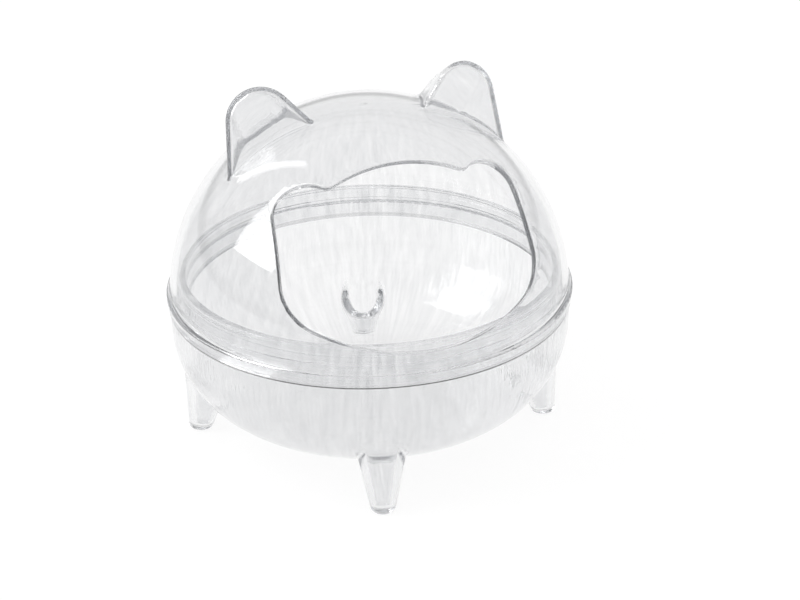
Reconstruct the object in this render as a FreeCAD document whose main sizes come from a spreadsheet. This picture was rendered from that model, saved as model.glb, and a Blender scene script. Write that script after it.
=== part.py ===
import FreeCAD, Part
import Sketcher
import math
import os
import re

# Clear moulded sand bath for a small pet, in millimetres.
# It has two mouldings: a bowl on four hollow feet, and a domed lid with two hollow ears and an
# entrance shaped like a cat's head.
# The origin is on the table at the middle of the feet, +Z is up and the entrance faces -Y.

DIMENSIONS = {
    # dome and rim of the lid
    "dome_radius": 45.5,
    "dome_centre": 34.0,
    "lid_wall": 1.5,
    "flare_start": 38.1,
    "flare_radius": 2.0,
    "flange_radius": 46.2,
    "flange_top": 36.4,
    "flange_round": 0.5,
    "skirt_radius": 45.9,
    "skirt_bottom": 33.3,
    "land_radius": 43.4,
    "land_top": 38.0,
    # ears: the front face is a slanted arch, drawn to the right of the entrance
    "ear_across": 23.0,
    "ear_forward": -2.3,
    "ear_height": 72.0,
    "ear_splay": 14.8,
    "ear_lean": 20.0,
    "ear_side": 9.1,
    "ear_top": 14.4,
    "ear_tip_radius": 7.9,
    "ear_slope": 44.0,
    "ear_foot": -8.0,
    "ear_depth": 18.0,
    "ear_draft": 15.0,
    "ear_wall": 1.0,
    "ear_back_across": 20.0,
    "ear_back_behind": 11.2,
    "ear_back_height": 73.3,
    "ear_back_turn": 15.0,
    "ear_back_lean": 22.0,
    "ear_back_round": 2.0,
    "ear_front_round": 0.8,
    "ear_hollow_back_round": 0.8,
    "ear_hollow_front_round": 0.6,
    "ear_root_round": 1.0,
    # entrance: half of a cat's head, seen square to the tilted cut
    "entrance_tilt": 42.3,
    "crown_half": 15.3,
    "crown_side": 11.3,
    "crown_radius": 36.0,
    "lobe_half": 26.6,
    "lobe_side": 8.6,
    "lobe_radius": 6.2,
    "cheek_half": 27.9,
    "cheek_drop": 6.5,
    "jaw_half": 22.9,
    "jaw_drop": 16.6,
    "jaw_radius": 13.0,
    "chin_radius": 35.6,
    "notch_round": 2.5,
    "entrance_round": 0.4,
    "entrance_bevel": 0.3,
    # bowl
    "bowl_radius": 45.5,
    "bowl_underside": 6.8,
    "bowl_corner": 21.5,
    "shoulder_round": 0.6,
    "ledge_height": 33.2,
    "neck_radius": 42.9,
    "neck_bore": 41.5,
    "neck_top": 41.5,
    "neck_round": 0.4,
    "bead_bottom": 39.4,
    "bead_top": 40.8,
    "bead_radius": 1.2,
    "floor_height": 8.4,
    "inner_corner": 16.0,
    # feet
    "foot_count": 4.0,
    "foot_turn": -103.8,
    "foot_reach": 40.5,
    "foot_tip": 2.6,
    "foot_lean": 11.0,
    "foot_draft": 12.0,
    "foot_length": 22.0,
    "foot_below": 2.0,
    "foot_round": 1.3,
    "foot_root_round": 0.8,
    "core_reach": 40.3,
    "core_tip": 1.4,
    "core_start": 2.0,
    "core_length": 20.0,
    "core_draft": 9.0,
    "core_mouth_round": 2.0,
    # how far a hollow is drawn past the open end that it leaves by
    "overshoot": 1.0,
}

document = FreeCAD.newDocument("sand_bath")


def make_sheet():
    """Put every driving dimension in a cell with an alias of its own."""
    sheet = document.addObject("Spreadsheet::Sheet", "Dimensions")
    for row, (name, size) in enumerate(DIMENSIONS.items(), start=1):
        sheet.set(f"A{row}", name)
        sheet.set(f"B{row}", str(size))
        sheet.setAlias(f"B{row}", name)
    document.recompute()
    return sheet


sheet = make_sheet()


def cells(formula):
    """Write a formula of dimension names as an expression on the sheet's cells."""
    return re.sub(
        r"[a-z_]+",
        lambda word: f"Dimensions.{word[0]}" if word[0] in DIMENSIONS else word[0],
        formula,
    )


def size_of(formula):
    """Work out a formula of dimension names as a plain number."""
    return float(sheet.evalExpression(cells(formula)))


def bind(item, **formulas):
    """Bind properties of a document object to formulas of the sheet's dimensions."""
    for name, formula in formulas.items():
        item.setExpression(name, cells(formula))


def origin_plane(body, role):
    """Find one of a body's own origin planes."""
    return next(plane for plane in body.Origin.OriginFeatures if plane.Role == role)


def arc_between(start, end, radius):
    """Make the short arc from start to end: it turns left if radius is positive, right if not."""
    if radius < 0:
        start, end = end, start
    chord = end - start
    half = chord.Length / 2
    across = FreeCAD.Vector(-chord.y, chord.x, 0).normalize()
    sagitta = abs(radius) - math.sqrt(radius * radius - half * half)
    return Part.Arc(start, (start + end) / 2 - across * sagitta, end)


def draw_outline(body, name, role, corners, arcs=()):
    """Sketch a closed outline whose corners and arc radii are bound to the sheet.

    corners lists (x formula, y formula). arcs maps the number of the side that leaves a corner to
    a radius formula, with a minus sign if that side turns right.
    """
    sketch = body.newObject("Sketcher::SketchObject", name)
    sketch.AttachmentSupport = [(origin_plane(body, role), "")]
    sketch.MapMode = "FlatFace"
    arcs = dict(arcs)
    points = [FreeCAD.Vector(size_of(x), size_of(y), 0) for x, y in corners]
    for side, start in enumerate(points):
        end = points[(side + 1) % len(points)]
        if side in arcs:
            curve = arc_between(start, end, size_of(arcs[side]))
            sketch.addGeometry(curve, False)
        else:
            sketch.addGeometry(Part.LineSegment(start, end), False)
    starts = []
    for side, start in enumerate(points):
        curve = sketch.Geometry[side]
        first = 1 if curve.StartPoint.distanceToPoint(start) < 1e-6 else 2
        starts.append(first)
    for side in range(len(points)):
        following = (side + 1) % len(points)
        sketch.addConstraint(
            Sketcher.Constraint(
                "Coincident", side, 3 - starts[side], following, starts[following]
            )
        )
    for side, formulas in enumerate(corners):
        for kind, formula in zip(("DistanceX", "DistanceY"), formulas):
            place = Sketcher.Constraint(
                kind, -1, 1, side, starts[side], size_of(formula)
            )
            number = sketch.addConstraint(place)
            sketch.setExpression(f"Constraints[{number}]", cells(formula))
    for side, formula in arcs.items():
        number = sketch.addConstraint(
            Sketcher.Constraint("Radius", side, abs(size_of(formula)))
        )
        sketch.setExpression(f"Constraints[{number}]", cells(formula.lstrip("-")))
    return sketch


def revolve(body, sketch, name):
    """Turn an outline in the XZ plane into a solid round the Z axis."""
    turned = body.newObject("PartDesign::Revolution", name)
    turned.Profile = sketch
    turned.ReferenceAxis = (sketch, ["V_Axis"])
    turned.Angle = 360
    return turned


def turned_solid(name, corners, arcs):
    """Make a body of revolution from an outline of radii and heights."""
    body = document.addObject("PartDesign::Body", name)
    sketch = draw_outline(body, f"{name}_outline", "XZ_Plane", corners, arcs)
    revolve(body, sketch, f"{name}_turned")
    document.recompute()
    return body


def combine(kind, name, first, *others):
    """Fuse, cut or intersect solids of the document."""
    joined = document.addObject(f"Part::{kind}", name)
    if kind in ("MultiFuse", "MultiCommon"):
        joined.Shapes = [first, *others]
    else:
        joined.Base = first
        joined.Tool = others[0]
    document.recompute()
    return joined


def ease_edges(kind, name, solid, size, chosen):
    """Round (kind Fillet) or bevel (kind Chamfer) the edges for which chosen(edge) is true."""
    amount = size_of(size)
    edges = [
        (number, amount, amount)
        for number, edge in enumerate(solid.Shape.Edges, start=1)
        if chosen(edge)
    ]
    eased = document.addObject(f"Part::{kind}", name)
    eased.Base = solid
    eased.Edges = edges
    document.recompute()
    return eased


NEAR = 0.002  # how close an edge must be to a plane or a sphere to count as lying on it
NO_TURN = "rotation(0; 0; 0)"
LIP_FRONT = -15.0  # the entrance's edges lie in front of this y, and the ears' roots behind it


def samples(edge):
    """Five points spread along an edge."""
    span = edge.LastParameter - edge.FirstParameter
    return [edge.valueAt(edge.FirstParameter + span * step / 4) for step in range(5)]


def middle(edge):
    """The point half way along an edge."""
    return samples(edge)[2]


def lies_in(edge, frame, axis, height):
    """True if an edge, or its mirror image, lies in a plane at a height along a frame's axis."""
    to_frame = frame.inverse()
    for point in samples(edge):
        local = to_frame.multVec(FreeCAD.Vector(abs(point.x), point.y, point.z))
        if abs(getattr(local, axis) - height) > NEAR:
            return False
    return True


def lies_on_dome(edge, radius):
    """True if an edge lies on a sphere round the dome's centre."""
    centre = FreeCAD.Vector(0, 0, size_of("dome_centre"))
    return all(abs((point - centre).Length - size_of(radius)) < NEAR for point in samples(edge))


# ---------------------------------------------------------------- lid

FACE = (
    "placement(vector(ear_across; ear_forward; ear_height);"
    " rotation(ear_splay; 0; 90 - ear_lean))"
)
BACK = (
    "placement(vector(ear_back_across; ear_back_behind; ear_back_height);"
    " rotation(0 - ear_back_turn; 0; ear_back_lean))"
)


def make_dome_outside():
    """The lid's outer surface as a full solid: dome, flare, flange and skirt."""
    corners = [
        ("0", "skirt_bottom"),
        ("skirt_radius", "skirt_bottom"),
        ("flange_radius", "flange_top - flange_round"),
        ("flange_radius - flange_round", "flange_top"),
        ("sqrt(dome_radius^2 - (flare_start - dome_centre)^2)", "flare_start"),
        ("0", "dome_centre + dome_radius"),
    ]
    arcs = {2: "flange_round", 3: "-flare_radius", 4: "dome_radius"}
    return turned_solid("dome_outside", corners, arcs)


def make_dome_inside():
    """The hollow of the dome, with the plain land that slips over the bowl's neck."""
    corners = [
        ("0", "skirt_bottom - overshoot"),
        ("land_radius", "skirt_bottom - overshoot"),
        ("land_radius", "land_top"),
        ("sqrt((dome_radius - lid_wall)^2 - (land_top - dome_centre)^2)", "land_top"),
        ("0", "dome_centre + dome_radius - lid_wall"),
    ]
    return turned_solid("dome_inside", corners, {3: "dome_radius - lid_wall"})


def make_ear(name, inset):
    """One right-hand ear, full: a drafted arch cut off behind. inset thins it all round."""
    arch = document.addObject("PartDesign::Body", f"{name}_arch")
    # the arch's arc meets the upright outer side and the sloping inner side without a corner
    side = f"(ear_side - {inset})"
    tip = f"(ear_tip_radius - {inset})"
    across = "(ear_side - ear_tip_radius)"
    above = "(ear_top - ear_tip_radius)"
    turn_x = f"{across} - {tip} * sin(ear_slope)"
    turn_y = f"{above} + {tip} * cos(ear_slope)"
    corners = [
        (side, "ear_foot"),
        (side, above),
        (turn_x, turn_y),
        (f"{turn_x} - ({turn_y} - ear_foot) / tan(ear_slope)", "ear_foot"),
    ]
    sketch = draw_outline(arch, f"{name}_outline", "XY_Plane", corners, {1: tip})
    pad = arch.newObject("PartDesign::Pad", f"{name}_pad")
    pad.Profile = sketch
    pad.Reversed = True
    bind(pad, Length="ear_depth", TaperAngle="0 - ear_draft")
    bind(arch, Placement=f"{FACE} * placement(vector(0; 0; 0 - {inset}); {NO_TURN})")
    behind = document.addObject("Part::Box", f"{name}_behind")
    bind(behind, Length="3 * ear_depth", Width="3 * ear_depth", Height="3 * ear_depth")
    shift = f"vector(-1.5 * ear_depth; 0 - {inset}; -1.5 * ear_depth)"
    bind(behind, Placement=f"{BACK} * placement({shift}; {NO_TURN})")
    document.recompute()
    return combine("Cut", name, arch, behind)


def make_left(name, right):
    """The mirror image of a right-hand ear."""
    left = document.addObject("Part::Mirroring", name)
    left.Source = right
    left.Normal = (1, 0, 0)
    document.recompute()
    return left


def round_ears(name, solid, radius, inset, rounds):
    """Round both ears' back edges, then their front edges, then their roots on the dome."""
    drop = -size_of(inset)
    face = sheet.evalExpression(cells(FACE))
    back = sheet.evalExpression(cells(BACK))

    def is_back(edge):
        """True for an edge in the plane of an ear's back, but not where it meets the dome."""
        return lies_in(edge, back, "y", drop) and not lies_on_dome(edge, radius)

    def is_front(edge):
        """True for an edge in the plane of an ear's face, but not where it meets the dome."""
        return lies_in(edge, face, "z", drop) and not lies_on_dome(edge, radius)

    def is_root(edge):
        """True for an edge where an ear stands on the dome."""
        is_seam = all(abs(point.y) < NEAR for point in samples(edge))
        is_high = middle(edge).z > size_of("ear_height + ear_foot")
        return lies_on_dome(edge, radius) and is_high and not is_seam

    for part, chosen in (("back", is_back), ("front", is_front), ("root", is_root)):
        solid = ease_edges("Fillet", f"{name}_{part}", solid, rounds[part], chosen)
    return solid


def make_entrance():
    """The cat's head that is cut out of the front of the dome, square to a tilted plane."""
    body = document.addObject("PartDesign::Body", "entrance")
    right = [
        ("jaw_half", "0 - jaw_drop"),
        ("cheek_half", "0 - cheek_drop"),
        ("lobe_half", "lobe_side"),
        ("crown_half", "crown_side"),
    ]
    left = [(f"0 - {x}", y) for x, y in reversed(right)]
    arcs = {
        0: "jaw_radius",
        2: "lobe_radius",
        3: "crown_radius",
        4: "lobe_radius",
        6: "jaw_radius",
        7: "chin_radius",
    }
    sketch = draw_outline(body, "entrance_outline", "XY_Plane", right + left, arcs)
    pad = body.newObject("PartDesign::Pad", "entrance_pad")
    pad.Profile = sketch
    bind(pad, Length="2 * dome_radius")
    document.recompute()

    def is_notch(edge):
        """True for the two upright edges where the crown meets the lobes."""
        return all(
            abs(abs(point.x) - size_of("crown_half")) < NEAR
            and abs(point.y - size_of("crown_side")) < NEAR
            for point in samples(edge)
        )

    entrance = ease_edges("Fillet", "entrance_notched", body, "notch_round", is_notch)
    tilt = "rotation(0; 0; 90 - entrance_tilt)"
    bind(entrance, Placement=f"placement(vector(0; 0; dome_centre); {tilt})")
    document.recompute()
    return entrance


def make_lid():
    """The lid: a thin dome on a skirt, with two hollow ears and the entrance."""
    ear = make_ear("ear_outside", "0")
    other_ear = make_left("left_ear_outside", ear)
    outside = combine("MultiFuse", "lid_outside", make_dome_outside(), ear, other_ear)
    outside = round_ears(
        "lid_outside",
        outside,
        "dome_radius",
        "0",
        {"back": "ear_back_round", "front": "ear_front_round", "root": "ear_root_round"},
    )
    hollow = make_ear("ear_inside", "ear_wall")
    other_hollow = make_left("left_ear_inside", hollow)
    inside = combine("MultiFuse", "lid_inside", make_dome_inside(), hollow, other_hollow)
    inside = round_ears(
        "lid_inside",
        inside,
        "dome_radius - lid_wall",
        "ear_wall",
        {
            "back": "ear_hollow_back_round",
            "front": "ear_hollow_front_round",
            "root": "ear_root_round",
        },
    )
    shell = combine("Cut", "lid_shell", outside, inside)
    opened = combine("Cut", "lid_opened", shell, make_entrance())

    def lip_on(radius):
        """Make a test for the entrance's edges on a sphere round the dome's centre."""
        return lambda edge: lies_on_dome(edge, radius) and middle(edge).y < LIP_FRONT

    outer_lip = lip_on("dome_radius")
    inner_lip = lip_on("dome_radius - lid_wall")
    rounded = ease_edges("Fillet", "lid_rounded", opened, "entrance_round", outer_lip)
    lid = ease_edges("Chamfer", "lid", rounded, "entrance_bevel", inner_lip)
    lid.Label = "lid"
    return lid


# ---------------------------------------------------------------- bowl


def lies_on_corner(edge, corner, wall, floor):
    """True if an edge is a wavy line on the round corner between the pot's wall and its floor."""
    radius = size_of(corner)
    ring = size_of(wall) - radius
    height = size_of(floor) + radius
    on_corner = all(
        abs(math.hypot(math.hypot(point.x, point.y) - ring, point.z - height) - radius) < NEAR
        for point in samples(edge)
    )
    heights = [point.z for point in samples(edge)]
    is_level = max(heights) - min(heights) < NEAR
    angles = [math.atan2(point.y, point.x) for point in samples(edge)]
    is_seam = max(angles) - min(angles) < NEAR
    return on_corner and not is_level and not is_seam


def make_bowl_outside():
    """The bowl's outer surface as a full solid: round-cornered pot, ledge, neck and its bead."""
    corners = [
        ("0", "bowl_underside"),
        ("bowl_radius - bowl_corner", "bowl_underside"),
        ("bowl_radius", "bowl_underside + bowl_corner"),
        ("bowl_radius", "ledge_height - shoulder_round"),
        ("bowl_radius - shoulder_round", "ledge_height"),
        ("neck_radius", "ledge_height"),
        ("neck_radius", "bead_bottom"),
        ("neck_radius", "bead_top"),
        ("neck_radius", "neck_top - neck_round"),
        ("neck_radius - neck_round", "neck_top"),
        ("0", "neck_top"),
    ]
    arcs = {1: "bowl_corner", 3: "shoulder_round", 6: "bead_radius", 8: "neck_round"}
    return turned_solid("bowl_outside", corners, arcs)


def make_bowl_inside():
    """The bowl's hollow: a flat floor, a round corner and a straight wall up to the neck."""
    corners = [
        ("0", "floor_height"),
        ("neck_bore - inner_corner", "floor_height"),
        ("neck_bore", "floor_height + inner_corner"),
        ("neck_bore", "neck_top + overshoot"),
        ("0", "neck_top + overshoot"),
    ]
    return turned_solid("bowl_inside", corners, {1: "inner_corner"})


def make_cones(name, reach, start, length, start_radius, draft):
    """A ring of leaning cones, one for each foot, that widen upwards from their start."""
    cones = []
    for number in range(round(size_of("foot_count"))):
        cone = document.addObject("Part::Cone", f"{name}_{number + 1}")
        bind(
            cone,
            Radius1=start_radius,
            Radius2=f"{start_radius} + ({length}) * tan({draft})",
            Height=length,
            Placement="placement(vector(0; 0; 0);"
            f" rotation(foot_turn + {number} * 360 / foot_count; 0; 0))"
            f" * placement(vector({reach}; 0; 0); rotation(0; 0 - foot_lean; 0))"
            f" * placement(vector(0; 0; {start}); {NO_TURN})",
        )
        cones.append(cone)
    document.recompute()
    return cones


def make_bowl():
    """The bowl: a thick pot on four hollow feet, open at the top."""
    feet = make_cones(
        "foot",
        "foot_reach",
        "0 - foot_below",
        "foot_length + foot_below",
        "foot_tip - foot_below * tan(foot_draft)",
        "foot_draft",
    )
    pot = make_bowl_outside()
    standing = combine("MultiFuse", "bowl_standing", pot, *feet)

    def is_foot_root(edge):
        """True for an edge where a foot leaves the pot's round corner."""
        return lies_on_corner(edge, "bowl_corner", "bowl_radius", "bowl_underside")

    rooted = ease_edges("Fillet", "bowl_rooted", standing, "foot_root_round", is_foot_root)
    table = document.addObject("Part::Box", "table")
    bind(
        table,
        Length="4 * bowl_radius",
        Width="4 * bowl_radius",
        Height="2 * foot_below",
        Placement="placement(vector(-2 * bowl_radius; -2 * bowl_radius; -2 * foot_below);"
        f" {NO_TURN})",
    )
    level = combine("Cut", "bowl_level", rooted, table)

    def is_tip(edge):
        """True for the edge round a foot's flat tip."""
        return all(abs(point.z) < NEAR for point in samples(edge))

    rounded = ease_edges("Fillet", "bowl_rounded", level, "foot_round", is_tip)
    cores = make_cones("core", "core_reach", "core_start", "core_length", "core_tip", "core_draft")
    open_cores = combine("MultiFuse", "bowl_open_cores", make_bowl_inside(), *cores)

    def is_core_mouth(edge):
        """True for an edge where a foot's core opens into the pot's round corner."""
        return lies_on_corner(edge, "inner_corner", "neck_bore", "floor_height")

    hollow = ease_edges(
        "Fillet", "bowl_hollow", open_cores, "core_mouth_round", is_core_mouth
    )
    bowl = combine("Cut", "bowl", rounded, hollow)
    bowl.Label = "bowl"
    return bowl


# ---------------------------------------------------------------- checks and export

pieces = [make_lid(), make_bowl()]
document.recompute()
for item in document.Objects:
    if "Invalid" in item.State or "Error" in item.State:
        raise RuntimeError(f"{item.Name} did not compute: {item.State}")
for piece in pieces:
    if piece.Shape.isNull() or not piece.Shape.isValid():
        raise RuntimeError(f"{piece.Label} has no valid shape")
    if len(piece.Shape.Solids) != 1:
        raise RuntimeError(f"{piece.Label} should be one solid")

os.makedirs("parts", exist_ok=True)
for piece in pieces:
    piece.Shape.exportStep(f"parts/{piece.Label}.step")
    box = piece.Shape.optimalBoundingBox()
    print(
        f"{piece.Label}: {piece.Shape.Volume:.0f} mm3,"
        f" x {box.XMin:.2f} to {box.XMax:.2f},"
        f" y {box.YMin:.2f} to {box.YMax:.2f},"
        f" z {box.ZMin:.2f} to {box.ZMax:.2f}"
    )
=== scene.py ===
"""Looks for the clear two-piece sand bath: moulded plastic on a bright, plain studio floor.

Lengths are in metres and angles in degrees. The entrance faces -Y and +Z is up.
"""

import math

import bpy
import numpy as np
from mathutils import Matrix, Vector

# the clear plastic
PLASTIC_IOR = 1.57
ABSORPTION_COLOUR = (0.60, 0.61, 0.63)
ABSORPTION_PER_METRE = 12.0
RIPPLE_SCALE = 45.0
RIPPLE_DETAIL = 1.0
RIPPLE_HEIGHT = 0.00002

# its flow streaks, which fan out from the middle of each moulding: their noise lies around 0.5
STREAK_MIDDLE = 0.5
STREAK_SCALE = 38.0
STREAK_DETAIL = 3.0
STREAK_ROUGHNESS = 0.6
STREAK_BREAK = 4.0  # how fast a streak changes along its length
STREAK_FADE = 0.040  # the radius at which the streaks reach their full strength
# how far the streaks stand out of the surface: the dome is polished, the pot isn't
BOWL_STREAK_HEIGHT = 0.000045
LID_STREAK_HEIGHT = 0.0
# noise, with the tint that the plastic has at it; between the two the tint is mixed
DARK_STREAK = (0.3, (0.835, 0.839, 0.846, 1.0))
LIGHT_STREAK = (0.7, (0.965, 0.966, 0.969, 1.0))
# the shader's roughness at a noise of zero and of one
GLOSS = (0.01, 0.05)

# painted shade: a dark line painted into the colour where the narrow gap between the lid's skirt and
# the bowl's shoulder lies in shade
SEAM_PAINTED_SHADE = (0.01, 0.01, 0.01, 1.0)
SEAM_HEIGHT = 0.03325
SEAM_HALF_WIDTH = 0.00035
SEAM_RADIUS = 0.0453
SEAM_EDGE = 0.0001  # the width over which the line fades out

# normals that differ by less than this many degrees at one point belong to one smooth surface
SMOOTH_JOIN = 20.0
# points closer than this are one point
SAME_POINT = 1e-7

# the studio
FLOOR_SIZE = 6.0
FLOOR_GAP = 0.00005
FLOOR_ALBEDO = 0.10
FLOOR_ROUGHNESS = 0.9
FLOOR_GLOW = 0.92
# brightness of the room by the sine of the elevation, in steps of (sine, brightness)
ROOM = ((0.0, 0.5), (0.05, 0.5), (0.11, 0.90), (0.35, 0.90), (0.60, 0.80), (0.80, 0.95), (1.0, 0.95))
# each light: its watts, a corner, and the two corners next to it
WINDOW = (
    6.5,
    Vector((-0.918, 0.344, 0.358)),
    Vector((-0.839, -0.219, 0.397)),
    Vector((-0.780, 0.422, 1.217)),
)
STRIP = (
    0.35,
    Vector((-0.574, 0.928, 0.494)),
    Vector((-0.358, 0.508, 1.034)),
    Vector((-0.625, 0.896, 0.490)),
)

# the camera
CAMERA_AZIMUTH = -16.4
CAMERA_ELEVATION = 25.646
CAMERA_ROLL = 1.41
CAMERA_DISTANCE = 0.471
CAMERA_TARGET = Vector((0.0, 0.0, 0.040))
CAMERA_LENS = 93.23
CAMERA_SHIFT = (0.0388, -0.0436)
CAMERA_NEAR = 0.01

# light runs a long way along the inside of the clear walls before it leaves them
LIGHT_BOUNCES = 80


def join_normals(piece):
    """Share one normal where two smooth faces of a CAD node meet, so that no border shows."""
    mesh = piece.data
    corners = np.array([tuple(corner.vector) for corner in mesh.corner_normals])
    points = np.array([tuple(vertex.co) for vertex in mesh.vertices])
    vertex_of = np.empty(len(mesh.loops), int)
    mesh.loops.foreach_get("vertex_index", vertex_of)
    places = np.round(points[vertex_of] / SAME_POINT).astype(int)
    _, group_of = np.unique(places, axis=0, return_inverse=True)
    group_of = group_of.reshape(-1)
    order = np.argsort(group_of, kind="stable")
    starts = np.flatnonzero(np.diff(group_of[order], prepend=-1))
    limit = math.cos(math.radians(SMOOTH_JOIN))
    joined = corners.copy()
    for members in np.split(order, starts[1:]):
        normals = corners[members]
        alike = normals @ normals.T > limit
        sums = alike @ normals
        lengths = np.linalg.norm(sums, axis=1, keepdims=True)
        joined[members] = np.divide(sums, lengths, out=normals.copy(), where=lengths > 0.0)
    mesh.normals_split_custom_set(joined.tolist())


def add_node(material, kind, **values):
    """Add a shader node and set its inputs by name, with spaces written as underscores."""
    node = material.node_tree.nodes.new(kind)
    for name, value in values.items():
        node.inputs[name.replace("_", " ")].default_value = value
    return node


def feed(material, node, values):
    """Fill a node's first inputs from sockets or plain values."""
    for socket, value in zip(node.inputs, values):
        if isinstance(value, bpy.types.NodeSocket):
            material.node_tree.links.new(value, socket)
        else:
            socket.default_value = value


def math_node(material, operation, *values, clamp=False):
    """Work on numbers or number sockets."""
    node = material.node_tree.nodes.new("ShaderNodeMath")
    node.operation = operation
    node.use_clamp = clamp
    feed(material, node, values)
    return node.outputs[0]


def vector_node(material, operation, *values):
    """Work on vectors or vector sockets."""
    node = material.node_tree.nodes.new("ShaderNodeVectorMath")
    node.operation = operation
    feed(material, node, values)
    return node.outputs[0]


def split_node(material, position):
    """The X, Y and Z sockets of a position."""
    split = add_node(material, "ShaderNodeSeparateXYZ")
    material.node_tree.links.new(position, split.inputs[0])
    return split.outputs[0], split.outputs[1], split.outputs[2]


def radius_node(material, position):
    """The distance from the upright axis through the middle."""
    x, y, _ = split_node(material, position)
    squares = [math_node(material, "MULTIPLY", side, side) for side in (x, y)]
    return math_node(material, "SQRT", math_node(material, "ADD", *squares))


def painted_seam_shade_mask(material, position, radius):
    """Where the shade of the narrow gap between lid and bowl is painted: one on the outside of the
    joint, and zero elsewhere.
    """
    _, _, z = split_node(material, position)
    past_radius = math_node(material, "SUBTRACT", radius, SEAM_RADIUS)
    far_out = math_node(material, "DIVIDE", past_radius, SEAM_EDGE, clamp=True)
    height = math_node(material, "SUBTRACT", z, SEAM_HEIGHT)
    distance = math_node(material, "ABSOLUTE", height)
    within_width = math_node(material, "SUBTRACT", SEAM_HALF_WIDTH, distance)
    near_joint = math_node(material, "DIVIDE", within_width, SEAM_EDGE, clamp=True)
    from_inside = add_node(material, "ShaderNodeNewGeometry").outputs["Backfacing"]
    from_air = math_node(material, "SUBTRACT", 1.0, from_inside)
    band = math_node(material, "MULTIPLY", far_out, near_joint)
    return math_node(material, "MULTIPLY", band, from_air)


def flow_streaks(material, position, radius):
    """Noise that is drawn out up the walls and fades to its middle value at the axis."""
    level = vector_node(material, "MULTIPLY", position, (1.0, 1.0, 0.0))
    around = vector_node(material, "NORMALIZE", level)
    upwards = vector_node(material, "MULTIPLY", position, (0.0, 0.0, STREAK_BREAK))
    noise = add_node(
        material,
        "ShaderNodeTexNoise",
        Scale=STREAK_SCALE,
        Detail=STREAK_DETAIL,
        Roughness=STREAK_ROUGHNESS,
    )
    fan = vector_node(material, "ADD", around, upwards)
    material.node_tree.links.new(fan, noise.inputs["Vector"])
    fade = math_node(material, "DIVIDE", radius, STREAK_FADE, clamp=True)
    contrast = math_node(material, "SUBTRACT", noise.outputs["Fac"], STREAK_MIDDLE)
    faded = math_node(material, "MULTIPLY", contrast, fade)
    return math_node(material, "ADD", faded, STREAK_MIDDLE)


def plastic_colour(material, streaks, painted_seam_shade):
    """The tint of the streaks, with the painted shade of the gap between lid and bowl over it."""
    links = material.node_tree.links
    tint = material.node_tree.nodes.new("ShaderNodeValToRGB")
    for element, (noise, colour) in zip(tint.color_ramp.elements, (DARK_STREAK, LIGHT_STREAK)):
        element.position = noise
        element.color = colour
    links.new(streaks, tint.inputs["Fac"])
    # painted shade: a near-black colour mixed in where the gap between lid and bowl lies in shade
    painted_shade_mix = material.node_tree.nodes.new("ShaderNodeMix")
    painted_shade_mix.data_type = "RGBA"
    links.new(painted_seam_shade, painted_shade_mix.inputs["Factor"])
    links.new(tint.outputs["Color"], painted_shade_mix.inputs["A"])
    painted_shade_mix.inputs["B"].default_value = SEAM_PAINTED_SHADE
    return painted_shade_mix.outputs["Result"]


def clear_plastic(name, streak_height):
    """Clear polystyrene: faint flow streaks up the walls, a slight ripple, and painted shade along
    the gap between lid and bowl.
    """
    material = bpy.data.materials.new(name)
    material.use_nodes = True
    links = material.node_tree.links
    shader = material.node_tree.nodes["Principled BSDF"]
    shader.inputs["IOR"].default_value = PLASTIC_IOR
    shader.inputs["Transmission Weight"].default_value = 1.0

    position = add_node(material, "ShaderNodeTexCoord").outputs["Object"]
    radius = radius_node(material, position)
    streaks = flow_streaks(material, position, radius)
    # where the painted shade of the gap between lid and bowl goes
    painted_seam_shade = painted_seam_shade_mask(material, position, radius)
    links.new(plastic_colour(material, streaks, painted_seam_shade), shader.inputs["Base Color"])
    gloss = add_node(material, "ShaderNodeMapRange", To_Min=GLOSS[0], To_Max=GLOSS[1])
    links.new(streaks, gloss.inputs["Value"])
    links.new(gloss.outputs["Result"], shader.inputs["Roughness"])

    ripple = add_node(material, "ShaderNodeTexNoise", Scale=RIPPLE_SCALE, Detail=RIPPLE_DETAIL)
    links.new(position, ripple.inputs["Vector"])
    rippled = math_node(material, "MULTIPLY", ripple.outputs["Fac"], RIPPLE_HEIGHT)
    streaked = math_node(material, "MULTIPLY", streaks, streak_height)
    bump = add_node(material, "ShaderNodeBump", Strength=1.0, Distance=1.0)
    links.new(math_node(material, "ADD", rippled, streaked), bump.inputs["Height"])
    links.new(bump.outputs["Normal"], shader.inputs["Normal"])

    absorption = add_node(material, "ShaderNodeVolumeAbsorption", Density=ABSORPTION_PER_METRE)
    absorption.inputs["Color"].default_value = (*ABSORPTION_COLOUR, 1.0)
    output = material.node_tree.nodes["Material Output"]
    links.new(absorption.outputs["Volume"], output.inputs["Volume"])
    return material


def dress(node, name, streak_height):
    """Give a CAD node its plastic, with streaks that stand out of its surface by a height."""
    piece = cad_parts[node]
    join_normals(piece)
    piece.data.materials.clear()
    piece.data.materials.append(clear_plastic(name, streak_height))


def make_floor():
    """A white floor that glows a little, so that it stays white under the object."""
    bpy.ops.mesh.primitive_plane_add(size=FLOOR_SIZE, location=(0.0, 0.0, -FLOOR_GAP))
    floor = bpy.context.object
    floor.name = "floor"
    material = bpy.data.materials.new("floor")
    material.use_nodes = True
    shader = material.node_tree.nodes["Principled BSDF"]
    shader.inputs["Base Color"].default_value = (FLOOR_ALBEDO, FLOOR_ALBEDO, FLOOR_ALBEDO, 1.0)
    shader.inputs["Roughness"].default_value = FLOOR_ROUGHNESS
    shader.inputs["Specular IOR Level"].default_value = 0.0
    shader.inputs["Emission Color"].default_value = (1.0, 1.0, 1.0, 1.0)
    shader.inputs["Emission Strength"].default_value = FLOOR_GLOW
    floor.data.materials.append(material)


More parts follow.
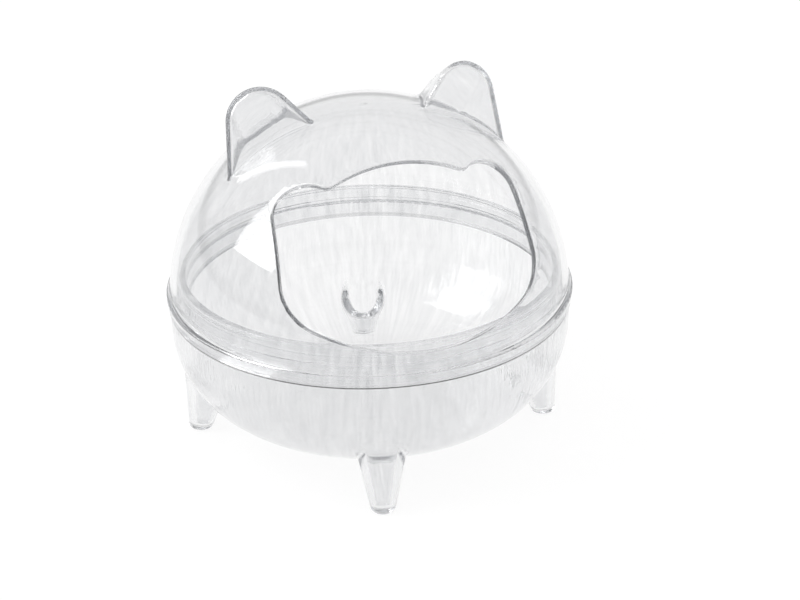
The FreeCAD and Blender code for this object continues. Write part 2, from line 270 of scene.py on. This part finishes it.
def make_room():
    """A pale room whose brightness changes only with the height above the floor."""
    world = bpy.data.worlds.new("studio")
    bpy.context.scene.world = world
    world.use_nodes = True
    nodes = world.node_tree.nodes
    links = world.node_tree.links
    direction = nodes.new("ShaderNodeTexCoord")
    split = nodes.new("ShaderNodeSeparateXYZ")
    ramp = nodes.new("ShaderNodeValToRGB")
    links.new(direction.outputs["Generated"], split.inputs[0])
    links.new(split.outputs["Z"], ramp.inputs["Fac"])
    elements = ramp.color_ramp.elements
    while len(elements) < len(ROOM):
        elements.new(1.0)
    for element, (sine, level) in zip(elements, ROOM):
        element.position = sine
        element.color = (level, level, level, 1.0)
    links.new(ramp.outputs["Color"], nodes["Background"].inputs["Color"])


def make_panel(name, watts, corner, along_corner, up_corner):
    """A soft rectangular light, spanned from one corner to the two next to it, facing the object."""
    to_along = along_corner - corner
    to_up = up_corner - corner
    along = to_along.normalized()
    back = along.cross(to_up).normalized()
    up = back.cross(along)
    length, width = to_along.length, abs(to_up.dot(up))
    centre = corner + to_along / 2 + to_up / 2
    if back.dot(centre) < 0:
        back, along = -back, -along
    data = bpy.data.lights.new(name, "AREA")
    data.shape = "RECTANGLE"
    data.size, data.size_y = length, width
    data.energy = watts
    light = bpy.data.objects.new(name, data)
    bpy.context.collection.objects.link(light)
    place = Matrix((along, up, back)).transposed().to_4x4()
    place.translation = centre
    light.matrix_world = place
    light.visible_camera = False


def make_camera():
    """The camera: its azimuth is measured from the front towards the right."""
    azimuth = math.radians(CAMERA_AZIMUTH)
    elevation = math.radians(CAMERA_ELEVATION)
    roll = math.radians(CAMERA_ROLL)
    level = math.cos(elevation)
    back = Vector((math.sin(azimuth) * level, -math.cos(azimuth) * level, math.sin(elevation)))
    right = Vector((math.cos(azimuth), math.sin(azimuth), 0.0))
    up = back.cross(right)
    turned_right = math.cos(roll) * right - math.sin(roll) * up
    turned_up = math.sin(roll) * right + math.cos(roll) * up
    data = bpy.data.cameras.new("camera")
    camera = bpy.data.objects.new("camera", data)
    bpy.context.collection.objects.link(camera)
    place = Matrix((turned_right, turned_up, back)).transposed().to_4x4()
    place.translation = CAMERA_TARGET + back * CAMERA_DISTANCE
    camera.matrix_world = place
    data.lens = CAMERA_LENS
    data.shift_x, data.shift_y = CAMERA_SHIFT
    data.clip_start = CAMERA_NEAR
    bpy.context.scene.camera = camera


def let_light_through():
    """Plain colours, and enough bounces for light that runs along inside the clear walls."""
    scene = bpy.context.scene
    scene.view_settings.view_transform = "Standard"
    scene.cycles.max_bounces = LIGHT_BOUNCES
    scene.cycles.transmission_bounces = LIGHT_BOUNCES
    scene.cycles.glossy_bounces = LIGHT_BOUNCES
    scene.cycles.caustics_refractive = True
    scene.cycles.caustics_reflective = True


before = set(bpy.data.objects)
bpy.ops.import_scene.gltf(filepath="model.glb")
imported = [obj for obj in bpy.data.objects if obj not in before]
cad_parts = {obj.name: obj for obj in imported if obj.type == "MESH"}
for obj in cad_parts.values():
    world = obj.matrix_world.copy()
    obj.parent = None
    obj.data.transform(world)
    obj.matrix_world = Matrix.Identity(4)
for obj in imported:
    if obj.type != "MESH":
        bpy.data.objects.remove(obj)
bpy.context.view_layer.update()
dress("bowl", "clear_bowl", BOWL_STREAK_HEIGHT)
dress("lid", "clear_lid", LID_STREAK_HEIGHT)
make_floor()
make_room()
make_panel("window", *WINDOW)
make_panel("strip", *STRIP)
make_camera()
let_light_through()
